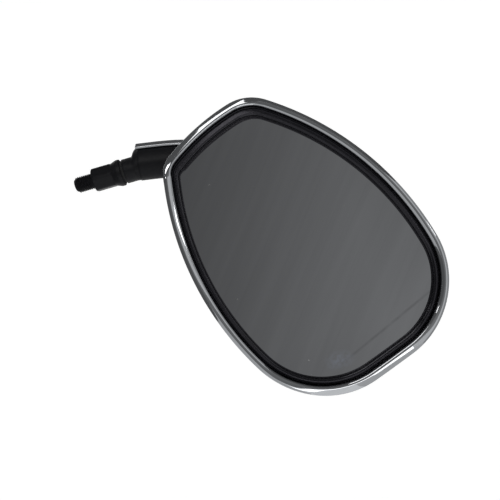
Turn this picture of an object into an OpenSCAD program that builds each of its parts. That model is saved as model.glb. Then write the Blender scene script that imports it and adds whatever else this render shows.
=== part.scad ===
// Right-hand motorcycle mirror: a threaded swivel stem, a short cast arm with a
// plated rear cover, a ball joint, and a plated shell that holds a convex glass.
// Row frame: +Z up along the stem thread, the rider is on the -Y side, and the
// head reaches out to +X. The origin is where the hexagon meets the thread.

/* [Mounting stud] */
// Thread size of the stem
thread_d = 10; // [8:0.5:12]
// Length of the threaded end
thread_len = 12; // [8:1:24]
// Chamfer at the tip of the thread
thread_chamfer = 1.6; // [0.6:0.2:2]
// Hexagon across its flats
hex_af = 14; // [13:0.5:17]
// Height of the hexagon
hex_len = 12.5; // [8:0.5:18]
// Height of the cone between hexagon and collar
flare_len = 4; // [2:0.5:6]
// Diameter of the collar that the arm turns on
collar_d = 16.8; // [16:0.2:20]
// Height of the collar
collar_len = 2.4; // [1.5:0.1:4]

/* [Swivel] */
// Diameter of the plain pivot post
post_d = 8; // [7:0.5:9]
// Thread at the top of the post
post_thread_d = 6; // [5:0.5:6]
// Wall of the sintered bush
bush_wall = 1; // [0.8:0.1:1.2]
// Length of the bush
bush_len = 9.6; // [8:0.2:11]
// Thickness of the friction washer
friction_t = 1.3; // [0.8:0.1:2]
// Thickness of one disc spring
disc_t = 0.7; // [0.5:0.1:0.9]
// Free height of one disc spring
disc_h = 1.2; // [1:0.1:1.5]
// Thickness of the pivot washer
pivot_washer_t = 1.2; // [0.8:0.1:1.6]
// Width of the pivot nut across its flats
pivot_nut_af = 10; // [9:0.5:10]
// Height of the pivot nut
pivot_nut_h = 5; // [4:0.5:6]

/* [Arm] */
// Diameter of the arm's neck
neck_d = 15.4; // [14.5:0.1:16]
// Length of the neck that shows below the arm
neck_len = 7; // [4:0.2:8]
// Height of the flared foot between neck and arm
foot_len = 3.6; // [3:0.2:7]
// Half width of the arm across both castings
arm_half_w = 11.6; // [10.6:0.1:12]
// Half thickness of the arm at its foot
arm_half_t = 8.5; // [8.2:0.1:9.5]
// Wall of the cast arm
arm_wall = 2.4; // [2:0.1:2.8]
// Wall of the plated rear cover
cover_wall = 1.8; // [1.4:0.1:2]
// Sideways offset of the arm's foot from the thread axis
foot_offset = -3.2; // [-4:0.1:-2]

/* [Ball joint] */
// Ball centre from the thread axis, outboard
ball_x = 25.7; // [24:0.1:28]
// Ball centre in front of the thread axis, towards the rider
ball_front = 36; // [34:0.5:38]
// Ball centre above the hexagon's lower face
ball_z = 94.3; // [92:0.1:98]
// Thickness of the nylon liner halves
liner_t = 1.55; // [1.2:0.05:1.6]
// Running clearance between ball, liners and socket
ball_clear = 0.05; // [0.03:0.01:0.1]
// Diameter of the neck of the ball stud
ball_neck_d = 8; // [7:0.2:8]
// Thread size of the ball stud's shank
stud_thread_d = 8; // [6:0.5:8]

/* [Head outline] */
// Tilt of the head's long axis above level, in degrees
head_tilt = 19.7; // [0:0.1:30]
// Ball centre from the narrow end of the head
ball_inset = 33.7; // [32:0.1:36]
// Centre of the narrow upper corner, along and across the head
corner_a = [25.4, 8.4];
// Radius of the narrow upper corner
corner_a_r = 25.3; // [24:0.5:29]
// Centre of the narrow lower corner, along and across the head
corner_b = [19.1, -28.2];
// Radius of the narrow lower corner
corner_b_r = 15.2; // [13:0.2:18]
// Centre of the wide lower corner, along and across the head
corner_c = [115.7, -10.2];
// Radius of the wide lower corner
corner_c_r = 51.3; // [46:0.1:54]
// Centre of the wide upper corner, along and across the head
corner_d = [119.1, 12.8];
// Radius of the wide upper corner
corner_d_r = 47.9; // [44:0.1:50]
// Bow radius of the upper long side
side_top_r = 164.5; // [140:0.5:200]
// Bow radius of the lower long side
side_low_r = 166.5; // [140:0.5:200]
// Bow radius of the narrow end
narrow_end_r = 126; // [110:1:300]
// Bow radius of the wide end
wide_end_r = 1110; // [400:10:1500]

/* [Head shell] */
// Depth of the shell behind the front of its rim
shell_depth = 42; // [40:0.5:48]
// Fullness of the shell's bowl, from a dome at 2 to a box
shell_fullness = 2.8; // [2.6:0.1:3.4]
// Wall of the shell
shell_wall = 2.5; // [2:0.1:3]
// Width of the bead round the rim
rim_w = 4.6; // [3.6:0.1:5.5]
// Radius of the hole in the back of the shell
shell_hole_r = 12.5; // [12:0.1:13]

/* [Glass and bezel] */
// Visible width of the bezel between rim and glass
bezel_w = 4.1; // [3.6:0.1:6]
// How far the bezel covers the edge of the glass
bezel_lip = 1.4; // [0.8:0.1:2]
// Height of the bezel's ridge below the front of the rim
ridge_drop = 1.6; // [1:0.1:3]
// Thickness of the glass
glass_t = 2; // [1.6:0.1:2.4]
// Radius of the convex glass
glass_r = 1400; // [1000:50:2000]
// Depth of the middle of the glass behind the front of the rim
glass_drop = 3.4; // [3:0.1:4.2]
// Thickness of the foam pad
pad_t = 1; // [0.8:0.1:1.4]
// Thickness of the glass holder
holder_t = 2.4; // [2:0.1:2.6]

/* [Hidden] */

// Clearances
play = 0.02;
gap = 0.15;
wide_gap = 0.4;
run_fit = 0.03;

// Heights of the swivel stack above the origin
collar_z = hex_len + flare_len;
collar_top = collar_z + collar_len;
neck_z = collar_top + friction_t;
shoulder_z = neck_z + bush_len;
springs_top = shoulder_z + 2 * disc_h;
pivot_nut_z = springs_top + pivot_washer_t;
post_end = pivot_nut_z + pivot_nut_h + 1.2;
foot_z = neck_z + neck_len;
path_z = foot_z + foot_len;
bush_r = post_d / 2 + run_fit + bush_wall;
washer_r = pivot_nut_af / 2 + 0.5;
pocket_r = pivot_nut_af / 2 / cos(30) + 0.35;
pocket_top = post_end + 2;

// Ball joint radii and stations, seen from the ball centre
// The ball's size and depth go with the depth of the shell that holds it
ball_depth = shell_depth * 4 / 7;
ball_r = shell_depth * 4 / 21;
back_room = 2;
liner_in = ball_r + ball_clear;
liner_out = liner_in + liner_t;
socket_in = liner_out + ball_clear;
socket_out = socket_in + 2.9;
cap_in = socket_out + wide_gap;
cap_t = 1.2;
cap_out = cap_in + cap_t;
cap_half_angle = 58;
cap_seat_r = cap_out + 0.5;
collar_hole_r = 10;
collar_out_r = cap_seat_r - 0.3;
collar_high = 8.5;
seat_back = shell_depth - ball_depth + back_room;
seat_flange_t = 2;
seat_r = 6.8;
boss_t = 8.5;
boss_r = 7.6;
stud_washer_t = 1.4;
stud_nut_af = 13 * stud_thread_d / 8;
stud_nut_h = 4;
stud_washer_r = stud_nut_af / 2 + 0.4;
nut_pocket_r = stud_nut_af / 2 / cos(30) + 0.3;
stud_tail = 0.8;
nut_room = 4.5;
key_af = 5;
rear_split = -0.8;
front_split = 1.6;
grease_r = 3.2;
mouth_r = 6.2;
mouth_wide_r = 9.4;
seat_y = -ball_front + seat_back;
boss_back_y = seat_y + boss_t;
stud_end_y = boss_back_y + stud_washer_t + stud_nut_h + stud_tail;

// Row place of the ball, and the arm's front and back surfaces above it
ball_pos = [ball_x, -ball_front, ball_z];
top_front_y = seat_y - 1.4;
top_back_y = stud_end_y + cover_wall + nut_room;
top_mid_y = (top_front_y + top_back_y) / 2;
top_half_t = (top_back_y - top_front_y) / 2;

// Path of the arm: a rise with a gooseneck towards the ball
arm_lean = 10.5;
arm_hook = ball_x - foot_offset - arm_lean;
hook_power = 3.3;
arm_rise = ball_z - path_z;
top_reach = 10.2;
top_sweep = 86;
arm_stations = 12;
top_stations = 6;
arm_sides = 16;

// The cast arm is narrower than the cover on the inboard side
body_shift = 1.6;
body_half_w = arm_half_w - 1.4;
body_reach = top_reach - cover_wall - wide_gap;
tongue_inset = cover_wall + 1.4;
body_power = 1.75;
cover_power = 2.2;

// Cover screws along the arm's path
cover_screw_at = [0.5, 0.74];
cover_screw_r = 1.5;
cover_screw_head_r = 3;
cover_screw_head_h = 2;
cover_boss_r = 3.2;

// Head frame: x along the head, y across it, z towards the rider, ball at 0
rim_z = ball_depth;
head_mid = [50, -1];
back_z = rim_z - shell_depth;

// Socket base and clamp plate
flange_top = 0.8;
flange_low = -3.2;
flange_r = socket_out + 4;
clamp_at = [55, 180, 305];
clamp_ring_r = socket_out + 1.2;
clamp_screw_r = 1.75;
clamp_plate_t = 1.5;
clamp_gap = 1.2;
clamp_spring_h = 1.4;
clamp_head_r = 3;
clamp_head_h = 2.2;
spring_w = 1.1;
plate_hole_r = 5;
base_at = [[20.5, 0], [-3, 21], [-3, -21]];
base_ear_r = 4.2;
base_screw_r = 1.6;
base_screw_len = 7;
base_head_r = 3;
base_head_h = 2;
base_boss_r = 3.4;

// Layers behind the glass
bezel_out = rim_w + gap;
glass_edge = rim_w + bezel_w - bezel_lip;
glass_mid_z = rim_z - glass_drop;
glass_low_z = glass_mid_z - glass_t;
face_gap = 0.1;
pad_low_z = glass_low_z - face_gap - pad_t;
pad_edge = glass_edge + 2.2;
holder_edge = rim_w + 0.8;
holder_z = pad_low_z - face_gap - holder_t;
holder_at = [[-12, 16], [66, 42], [88, -30], [18, -42]];
holder_boss_r = 3.4;
holder_screw_r = 1.4;
holder_screw_len = 6;
holder_head_r = 2.8;
holder_head_h = 1.2;

// Facets
corner_steps = 9;
side_steps = 8;
end_steps = 4;
bowl_rings = 9;
bead_steps = 6;

// Unit vector at an angle, and the angle of a vector
function dir(a) = [cos(a), sin(a)];
function heading(v) = atan2(v[1], v[0]);

// Centre of the arc of radius big that two corner circles touch from inside
function arc_centre(c1, r1, c2, r2, big) =
    let (
        a = big - r1,
        b = big - r2,
        d = c2 - c1,
        l = norm(d),
        x = (a * a - b * b + l * l) / (2 * l),
        h = sqrt(a * a - x * x)
    )
    c1 + d / l * x + [-d[1], d[0]] / l * h;

// Corner circles anticlockwise from the narrow lower one, moved to the ball
corners = [
    [corner_b - [ball_inset, 0], corner_b_r, corner_steps],
    [corner_c - [ball_inset, 0], corner_c_r, corner_steps],
    [corner_d - [ball_inset, 0], corner_d_r, corner_steps],
    [corner_a - [ball_inset, 0], corner_a_r, corner_steps]
];
bows = [
    [side_low_r, side_steps], [wide_end_r, end_steps],
    [side_top_r, side_steps], [narrow_end_r, end_steps]
];
bow_centres = [
    for (i = [0:3])
        let (p = corners[i], q = corners[(i + 1) % 4])
        arc_centre(p[0], p[1], q[0], q[1], bows[i][0])
];

// Points of an arc from angle a to angle b, without the last one
function arc_points(c, r, a, b, steps) =
    let (turn = (b - a + 720) % 360)
    [for (k = [0:steps - 1]) c + r * dir(a + turn * k / steps)];

// Outline of the head, moved outwards by off
function outline(off = 0) = [
    for (i = [0:3])
        let (
            before = bow_centres[(i + 3) % 4],
            after = bow_centres[i],
            next = corners[(i + 1) % 4],
            a = heading(corners[i][0] - before),
            b = heading(corners[i][0] - after),
            c = heading(next[0] - after)
        )
        each concat(
            arc_points(corners[i][0], corners[i][1] + off, a, b, corners[i][2]),
            arc_points(after, bows[i][0] + off, b, c, bows[i][1])
        )
];
rim = outline();
rim_n = len(rim);

// Share of the way from the middle of the bowl to the rim at a point
function bowl_share(p) = max([
    for (k = [0:rim_n - 1])
        let (
            q = rim[k],
            e = rim[(k + 1) % rim_n] - q,
            n = [e[1], -e[0]]
        )
        (n * (p - head_mid)) / (n * (q - head_mid))
]);
function bowl_drop(s, depth) =
    depth * pow(1 - pow(s, shell_fullness), 1 / shell_fullness);

// Height of the shell's outside over a point of the head
function shell_z(p) =
    rim_z - rim_w / 2 - bowl_drop(bowl_share(p), shell_depth - rim_w / 2);

// Height over a point of a face that follows the glass and is z at its middle
function dip(p, z) = z - pow(norm(p - head_mid), 2) / (2 * glass_r);
function on_glass(p, z) = [p[0], p[1], dip(p, z)];

// Solid from a stack of closed rings with the same number of points
module loft(rings, closed = false) {
    n = len(rings[0]);
    m = len(rings);
    last = closed ? m - 1 : m - 2;
    sides = [
        for (j = [0:last], i = [0:n - 1])
            let (
                a = j * n + i,
                b = j * n + (i + 1) % n,
                c = ((j + 1) % m) * n + (i + 1) % n,
                d = ((j + 1) % m) * n + i
            )
            each [[a, c, b], [a, d, c]]
    ];
    ends = closed ? [] : [
        for (i = [1:n - 2])
            each [[0, i, i + 1], [(m - 1) * n, (m - 1) * n + i + 1, (m - 1) * n + i]]
    ];
    polyhedron(points = [for (r = rings) each r], faces = concat(sides, ends));
}

// Solid of an open channel: each station is a pair of an outer and an inner line
module channel(stations) {
    n = len(stations[0][0]);
    m = len(stations);
    pts = [for (s = stations) each concat(s[0], s[1])];
    function o(j, i) = j * 2 * n + i;
    function q(j, i) = j * 2 * n + n + i;
    skin = [
        for (j = [0:m - 2], i = [0:n - 2])
            each [
                [o(j, i), o(j + 1, i + 1), o(j, i + 1)],
                [o(j, i), o(j + 1, i), o(j + 1, i + 1)],
                [q(j, i), q(j, i + 1), q(j + 1, i + 1)],
                [q(j, i), q(j + 1, i + 1), q(j + 1, i)]
            ]
    ];
    edges = [
        for (j = [0:m - 2])
            each [
                [o(j, 0), q(j, 0), q(j + 1, 0)],
                [o(j, 0), q(j + 1, 0), o(j + 1, 0)],
                [o(j, n - 1), q(j + 1, n - 1), q(j, n - 1)],
                [o(j, n - 1), o(j + 1, n - 1), q(j + 1, n - 1)]
            ]
    ];
    ends = [
        for (i = [0:n - 2])
            each [
                [o(0, i), o(0, i + 1), q(0, i + 1)],
                [o(0, i), q(0, i + 1), q(0, i)],
                [o(m - 1, i), q(m - 1, i + 1), o(m - 1, i + 1)],
                [o(m - 1, i), q(m - 1, i), q(m - 1, i + 1)]
            ]
    ];
    polyhedron(points = pts, faces = concat(skin, edges, ends));
}

// The arm's path, its direction and its section size at t from 0 to 1
function path_x(t) = foot_offset + arm_lean * t + arm_hook * pow(t, hook_power);
function path_z(t) = path_z + arm_rise * t;
function path_y(t) = top_mid_y * t * t;
function path_turn(t) =
    atan2(arm_lean + arm_hook * hook_power * pow(t, hook_power - 1), arm_rise);
function half_t(t) = arm_half_t + (top_half_t - arm_half_t) * t * t;

// A point of the arm's superellipse at an angle, 0 outboard and 90 at the back
function section(a, w, t, power) = [
    w * sign(cos(a)) * pow(abs(cos(a)), 2 / power),
    t * sign(sin(a)) * pow(abs(sin(a)), 2 / power)
];

// Row point of a section point across and along the arm
function arm_point(t, p, shift, ahead) =
    let (a = path_turn(t))
    [
        path_x(t) + (p[0] + shift) * cos(a) + ahead * sin(a),
        path_y(t) + p[1],
        path_z(t) - (p[0] + shift) * sin(a) + ahead * cos(a)
    ];

// One line of the arm's skin from angle a0 to a1
function arm_line(t, a0, a1, w, power, shift, wall, shrink, ahead) = [
    for (i = [0:arm_sides])
        let (p = section(a0 + (a1 - a0) * i / arm_sides, w, half_t(t), power))
        arm_point(
            t,
            [p[0] * shrink * (w - wall) / w, p[1] * shrink * (half_t(t) - wall) / half_t(t)],
            shift * shrink,
            ahead
        )
];

// Stations of a skin: along the path, then over the rounded top end
function arm_skin(a0, a1, w, power, shift, wall, reach) = concat(
    [
        for (j = [0:arm_stations])
            let (t = j / arm_stations)
            [
                arm_line(t, a0, a1, w, power, shift, 0, 1, 0),
                arm_line(t, a0, a1, w, power, shift, wall, 1, 0)
            ]
    ],
    [
        for (j = [1:top_stations])
            let (a = top_sweep * j / top_stations)
            [
                arm_line(1, a0, a1, w, power, shift, 0, cos(a), reach * sin(a)),
                arm_line(1, a0, a1, w, power, shift, wall, cos(a), (reach - wall) * sin(a))
            ]
    ]
);

// Places children in the head's frame
module at_head() {
    translate(ball_pos)
        rotate([0, -head_tilt, 0])
            rotate([90, 0, 0])
                children();
}

// Places children at the ball with z towards the rider, without the head's tilt
module at_ball() {
    translate(ball_pos)
        rotate([90, 0, 0])
            children();
}

module hexagon(af, h) {
    cylinder(r = af / 2 / cos(30), h = h, $fn = 6);
}

// A washer or tube standing on z = 0
module tube(r_out, r_in, h) {
    rotate_extrude()
        translate([r_in, 0])
            square([r_out - r_in, h]);
}

// A nut with both rims of the hexagon turned off
module nut(af, h, bore_r) {
    corner_r = af / 2 / cos(30);
    rim_cut = corner_r - af / 2;
    difference() {
        intersection() {
            hexagon(af, h);
            rotate_extrude()
                polygon([
                    [0, 0], [af / 2 - 0.1, 0], [corner_r + 0.1, rim_cut * 0.6],
                    [corner_r + 0.1, h - rim_cut * 0.6], [af / 2 - 0.1, h], [0, h]
                ]);
        }
        translate([0, 0, -1])
            cylinder(r = bore_r, h = h + 2);
    }
}

// A pan-head screw with its head's underside at z = 0 and its shank below
module pan_screw(head_r, head_h, shank_r, shank_len) {
    difference() {
        union() {
            rotate_extrude()
                polygon([
                    [0, 0], [head_r, 0], [head_r, head_h * 0.45],
                    [head_r * 0.86, head_h * 0.8], [head_r * 0.55, head_h], [0, head_h]
                ]);
            translate([0, 0, -shank_len])
                cylinder(r = shank_r, h = shank_len + 0.2);
        }
        for (a = [0, 90])
            rotate([0, 0, a])
                translate([-head_r * 0.6, -0.35, head_h * 0.5])
                    cube([head_r * 1.2, 0.7, head_h]);
    }
}

module mount_stud() {
    tip_r = thread_d / 2 - thread_chamfer;
    rim_cut = (hex_af / 2 / cos(30) - hex_af / 2) * 0.9;
    color([0.07, 0.07, 0.08]) {
        translate([0, 0, -thread_len])
            cylinder(r1 = tip_r, r2 = thread_d / 2, h = thread_chamfer);
        translate([0, 0, thread_chamfer - thread_len])
            cylinder(r = thread_d / 2, h = thread_len - thread_chamfer + 0.5);
        intersection() {
            rotate([0, 0, 30])
                hexagon(hex_af, hex_len + 0.5);
            union() {
                cylinder(r1 = hex_af / 2 - 0.2, r2 = hex_af / 2 / cos(30), h = rim_cut);
                translate([0, 0, rim_cut])
                    cylinder(r = hex_af / 2 / cos(30) + 0.1, h = hex_len);
            }
        }
        rotate_extrude()
            polygon([
                [0, hex_len], [hex_af / 2, hex_len], [collar_d / 2, collar_z],
                [collar_d / 2, collar_top - 0.5], [collar_d / 2 - 0.5, collar_top],
                [0, collar_top]
            ]);
        cylinder(r = post_d / 2, h = shoulder_z - wide_gap);
        cylinder(r = post_thread_d / 2, h = post_end);
    }
}

module friction_washer() {
    color([0.03, 0.03, 0.03])
        translate([0, 0, collar_top])
            tube(neck_d / 2 - 0.7, post_d / 2 + gap, friction_t);
}

module pivot_bush() {
    color([0.62, 0.52, 0.32])
        translate([0, 0, neck_z + gap])
            tube(bush_r, post_d / 2 + run_fit, bush_len - 2 * gap);
}

module disc_springs() {
    inner_r = post_thread_d / 2 + 0.2;
    outer_r = washer_r - 0.2;
    color([0.45, 0.46, 0.48]) {
        translate([0, 0, shoulder_z])
            rotate_extrude()
                polygon([
                    [inner_r, disc_h - disc_t], [outer_r, 0],
                    [outer_r, disc_t], [inner_r, disc_h]
                ]);
        translate([0, 0, shoulder_z + disc_h])
            rotate_extrude()
                polygon([
                    [inner_r, 0], [outer_r, disc_h - disc_t],
                    [outer_r, disc_h], [inner_r, disc_t]
                ]);
    }
}

module pivot_washer() {
    color([0.6, 0.61, 0.63])
        translate([0, 0, springs_top])
            tube(washer_r, post_thread_d / 2 + gap, pivot_washer_t);
}

module pivot_nut() {
    color([0.6, 0.61, 0.63])
        translate([0, 0, pivot_nut_z])
            nut(pivot_nut_af, pivot_nut_h, post_thread_d / 2 + play);
}

// Flared foot from the round neck to the arm's first section
module arm_foot() {
    foot_turn = path_turn(0);
    hull() {
        translate([0, 0, foot_z - 0.2])
            cylinder(r = neck_d / 2 + 0.25, h = 0.2, $fn = 48);
        translate([path_x(0), 0, path_z(0)])
            rotate([0, foot_turn, 0])
                translate([0, 0, -0.5])
                    linear_extrude(0.9)
                        polygon([
                            for (i = [0:35])
                                let (
                                    a = i * 10,
                                    front = section(a, body_half_w - 0.2, arm_half_t - 0.2, body_power),
                                    back = section(a, body_half_w - tongue_inset, arm_half_t - tongue_inset, cover_power)
                                )
                                (sin(a) > 0 ? back : front) + [body_shift, 0]
                        ]);
    }
}

module screw_place(t) {
    translate([path_x(t) + 1, 0, path_z(t)])
        rotate([90, 0, 0])
            children();
}

// The cast arm: neck, foot, front skin, pivot block and the boss for the ball
module arm_body() {
    color([0.09, 0.09, 0.10])
        difference() {
            union() {
                translate([0, 0, neck_z])
                    cylinder(r = neck_d / 2, h = foot_z - neck_z - 0.1);
                arm_foot();
                channel(arm_skin(-188, 8, body_half_w, body_power, body_shift, arm_wall, body_reach));
                intersection() {
                    translate([0, 0, foot_z + 0.5])
                        cylinder(r = neck_d / 2 - 0.9, h = pocket_top - foot_z - 0.5);
                    translate([-neck_d, -neck_d, foot_z])
                        cube([2 * neck_d, neck_d + 1.2, pocket_top]);
                }
                at_ball()
                    translate([0, 0, -seat_back - boss_t])
                        cylinder(r = boss_r, h = boss_t);
                for (t = cover_screw_at)
                    screw_place(t)
                        translate([0, 0, -path_y(t) - 1])
                            cylinder(r = cover_boss_r + 0.8, h = half_t(t) - 0.6);
            }
            translate([0, 0, neck_z - 1])
                cylinder(r = bush_r + play, h = bush_len + 2);
            translate([0, 0, shoulder_z])
                cylinder(r = pocket_r, h = pocket_top);
            at_ball()
                translate([0, 0, -seat_back - boss_t - 1])
                    cylinder(r = stud_thread_d / 2 + play, h = boss_t + 2);
            at_ball()
                translate([0, 0, -seat_back])
                    cylinder(r = boss_r + 0.5, h = 6);
            at_ball()
                translate([0, 0, -ball_front - stud_end_y - 1])
                    cylinder(r = nut_pocket_r, h = stud_end_y + 1 - boss_back_y);
            for (t = cover_screw_at) {
                screw_place(t)
                    translate([0, 0, -path_y(t) - 2])
                        cylinder(r = cover_screw_r + gap, h = half_t(t) + 6);
                screw_place(t)
                    translate([0, 0, -path_y(t) + half_t(t) - cover_screw_head_h - 1])
                        cylinder(r = cover_screw_head_r + 0.3, h = 6);
            }
        }
}

// The plated rear cover with its lip along the inboard edge
module arm_rear_cover() {
    color([0.82, 0.83, 0.85])
        difference() {
            union() {
                channel(arm_skin(12, 212, arm_half_w, cover_power, 0, cover_wall, top_reach));
                for (t = cover_screw_at)
                    screw_place(t)
                        translate([0, 0, -path_y(t) - half_t(t) + cover_wall / 2])
                            cylinder(r = cover_boss_r, h = half_t(t) - cover_wall / 2 - 1 - gap);
            }
            for (t = cover_screw_at)
                screw_place(t)
                    translate([0, 0, -path_y(t) - half_t(t) + cover_wall + 1])
                        cylinder(r = cover_screw_r + play, h = half_t(t));
        }
}

module cover_screws() {
    color([0.2, 0.2, 0.21])
        for (t = cover_screw_at)
            screw_place(t)
                translate([0, 0, -path_y(t) + half_t(t) - cover_screw_head_h - 1])
                    pan_screw(
                        cover_screw_head_r, cover_screw_head_h, cover_screw_r,
                        2 * half_t(t) - cover_screw_head_h - cover_wall - 3
                    );
}

// Ball, neck, seating flange and threaded shank in one turned piece
module ball_stud() {
    color([0.55, 0.56, 0.58])
        at_ball()
            difference() {
                union() {
                    sphere(r = ball_r);
                    translate([0, 0, -seat_back])
                        cylinder(r = ball_neck_d / 2, h = seat_back);
                    translate([0, 0, -seat_back])
                        rotate_extrude()
                            polygon([
                                [0, 0], [seat_r, 0], [seat_r, seat_flange_t - 0.5],
                                [seat_r - 0.5, seat_flange_t], [ball_neck_d / 2, seat_flange_t],
                                [0, seat_flange_t]
                            ]);
                    translate([0, 0, -ball_front - stud_end_y])
                        cylinder(r = stud_thread_d / 2, h = boss_t + stud_nut_h + 3);
                }
                translate([0, 0, ball_r - 3])
                    cylinder(r = key_af / 2 / cos(30), h = 4, $fn = 6);
            }
}

module stud_washer() {
    color([0.6, 0.61, 0.63])
        at_ball()
            translate([0, 0, -seat_back - boss_t - stud_washer_t])
                tube(stud_washer_r, stud_thread_d / 2 + gap, stud_washer_t);
}

module stud_nut() {
    color([0.6, 0.61, 0.63])
        at_ball()
            translate([0, 0, -seat_back - boss_t - stud_washer_t - stud_nut_h])
                nut(stud_nut_af, stud_nut_h, stud_thread_d / 2 + play);
}

// A spherical shell round the ball between two heights, as a turned ring
module ball_shell(r_in, r_out, low, high) {
    rotate_extrude()
        difference() {
            intersection() {
                circle(r = r_out);
                translate([0, low])
                    square([r_out, high - low]);
            }
            circle(r = r_in);
        }
}

// Dome on the neck that covers the hole in the shell at every angle
module dust_cap() {
    color([0.04, 0.04, 0.04])
        at_ball()
            difference() {
                ball_shell(cap_in, cap_out, -cap_out, -cap_out * cos(cap_half_angle));
                translate([0, 0, -cap_out - 1])
                    cylinder(r = ball_neck_d / 2 + play, h = cap_t + 4);
            }
}

module liner_rear() {
    color([0.86, 0.84, 0.78])
        at_ball()
            difference() {
                ball_shell(liner_in, liner_out, -liner_out, rear_split);
                translate([0, 0, -liner_out - 1])
                    cylinder(r = ball_neck_d / 2 + wide_gap, h = liner_out);
            }
}

module liner_front() {
    color([0.86, 0.84, 0.78])
        at_head()
            difference() {
                ball_shell(liner_in, liner_out, front_split, liner_out);
                translate([0, 0, 1])
                    cylinder(r = grease_r, h = liner_out);
            }
}

// Socket casting: a flange with three ears round the rear half of the socket
module socket_base() {
    color([0.3, 0.31, 0.33])
        at_head()
            difference() {
                union() {
                    ball_shell(socket_in - 1, socket_out, -socket_out, 0);
                    translate([0, 0, flange_low])
                        cylinder(r = flange_r, h = flange_top - flange_low);
                    for (p = base_at)
                        translate([0, 0, flange_low]) {
                            translate(p)
                                cylinder(r = base_ear_r, h = flange_top - flange_low);
                            rotate([0, 0, heading(p)])
                                translate([0, -base_ear_r + 0.6, 0])
                                    cube([norm(p), 2 * base_ear_r - 1.2, flange_top - flange_low - 1]);
                        }
                }
                sphere(r = socket_in);
                translate([0, 0, -socket_out - 1])
                    cylinder(r1 = mouth_wide_r, r2 = mouth_r, h = socket_out + 1 - socket_in * 0.72);
                translate([0, 0, -socket_out - 1])
                    cylinder(r = mouth_r, h = socket_out);
                for (a = clamp_at)
                    rotate([0, 0, a])
                        translate([clamp_ring_r, 0, flange_low - 1])
                            cylinder(r = clamp_screw_r + play, h = flange_top - flange_low + 2);
                for (p = base_at)
                    translate([p[0], p[1], flange_low - 1])
                        cylinder(r = base_screw_r + gap, h = flange_top - flange_low + 2);
            }
}

module base_screws() {
    color([0.6, 0.61, 0.63])
        at_head()
            for (p = base_at)
                translate([p[0], p[1], flange_top])
                    pan_screw(base_head_r, base_head_h, base_screw_r, base_screw_len);
}

// Pressed plate that holds the front liner on the ball
module clamp_plate() {
    low = flange_top + clamp_gap;
    color([0.58, 0.59, 0.61])
        at_head()
            difference() {
                union() {
                    ball_shell(socket_in, socket_in + clamp_plate_t, low, socket_in + clamp_plate_t);
                    translate([0, 0, low])
                        cylinder(r = clamp_ring_r + 1.2, h = clamp_plate_t);
                    for (a = clamp_at)
                        rotate([0, 0, a])
                            translate([clamp_ring_r, 0, low])
                                cylinder(r = clamp_head_r + 0.4, h = clamp_plate_t);
                }
                sphere(r = socket_in);
                translate([0, 0, 1])
                    cylinder(r = plate_hole_r, h = socket_in + clamp_plate_t);
                for (a = clamp_at)
                    rotate([0, 0, a])
                        translate([clamp_ring_r, 0, low - 1])
                            cylinder(r = clamp_screw_r + gap, h = clamp_plate_t + 2);
            }
}

// Split spring washers under the clamp screws
module clamp_springs() {
    low = flange_top + clamp_gap + clamp_plate_t;
    color([0.45, 0.46, 0.48])
        at_head()
            for (a = clamp_at)
                rotate([0, 0, a])
                    translate([clamp_ring_r, 0, low])
                        rotate_extrude(angle = 340)
                            translate([clamp_screw_r + gap, 0])
                                square([spring_w, clamp_spring_h]);
}

module clamp_screws() {
    seat = flange_top + clamp_gap + clamp_plate_t + clamp_spring_h;
    color([0.6, 0.61, 0.63])
        at_head()
            for (a = clamp_at)
                rotate([0, 0, a])
                    translate([clamp_ring_r, 0, seat])
                        pan_screw(clamp_head_r, clamp_head_h, clamp_screw_r, seat - flange_low);
}

// One ring of the bowl at a share of the way out from its middle
function bowl_ring(share, edge, depth, top) = [
    for (p = edge)
        let (q = head_mid + (p - head_mid) * share)
        [q[0], q[1], top - bowl_drop(share, depth)]
];
function bowl_share_at(j) = pow(sin(90 * j / bowl_rings), 0.9);

// Plated shell: the bowl outside, the bead round the rim and the bowl inside
module shell_skin() {
    bead_z = rim_z - rim_w / 2;
    inner_edge = outline(-shell_wall);
    outside = [
        for (j = [1:bowl_rings])
            bowl_ring(bowl_share_at(j), rim, shell_depth - rim_w / 2, bead_z)
    ];
    bead = [
        for (k = [1:bead_steps])
            let (a = 180 * k / bead_steps)
            [
                for (p = outline(-rim_w / 2 * (1 - cos(a))))
                    [p[0], p[1], bead_z + rim_w / 2 * sin(a)]
            ]
    ];
    throat = [
        for (p = outline(-rim_w))
            [p[0], p[1], glass_low_z - 0.4]
    ];
    under = [
        for (p = outline(-shell_wall - 0.4))
            [p[0], p[1], glass_low_z - 1.6]
    ];
    inside = [
        for (j = [bowl_rings - 1:-1:1])
            bowl_ring(
                bowl_share_at(j), inner_edge,
                shell_depth - shell_wall - rim_w / 2 - 0.6, bead_z - 0.6
            )
    ];
    loft(concat(outside, bead, [throat, under], inside));
}

module shell_boss(p, r, top) {
    outward = (p - head_mid) / norm(p - head_mid);
    low = shell_z(p + outward * r) + 0.9;
    translate([p[0], p[1], low])
        cylinder(r = r, h = top - low);
}

// Inward collar round the hole, with its foot inside the sloping wall
module ball_collar() {
    slope = atan2(shell_z([-shell_hole_r, 0]) - shell_z([shell_hole_r, 0]), 2 * shell_hole_r);
    foot = shell_z([0, 0]) * cos(slope) + shell_wall / 2;
    intersection() {
        translate([0, 0, back_z])
            cylinder(r = collar_out_r, h = -back_z - collar_high);
        rotate([0, slope, 0])
            translate([-2 * collar_out_r, -2 * collar_out_r, foot])
                cube(4 * collar_out_r);
    }
}

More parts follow.
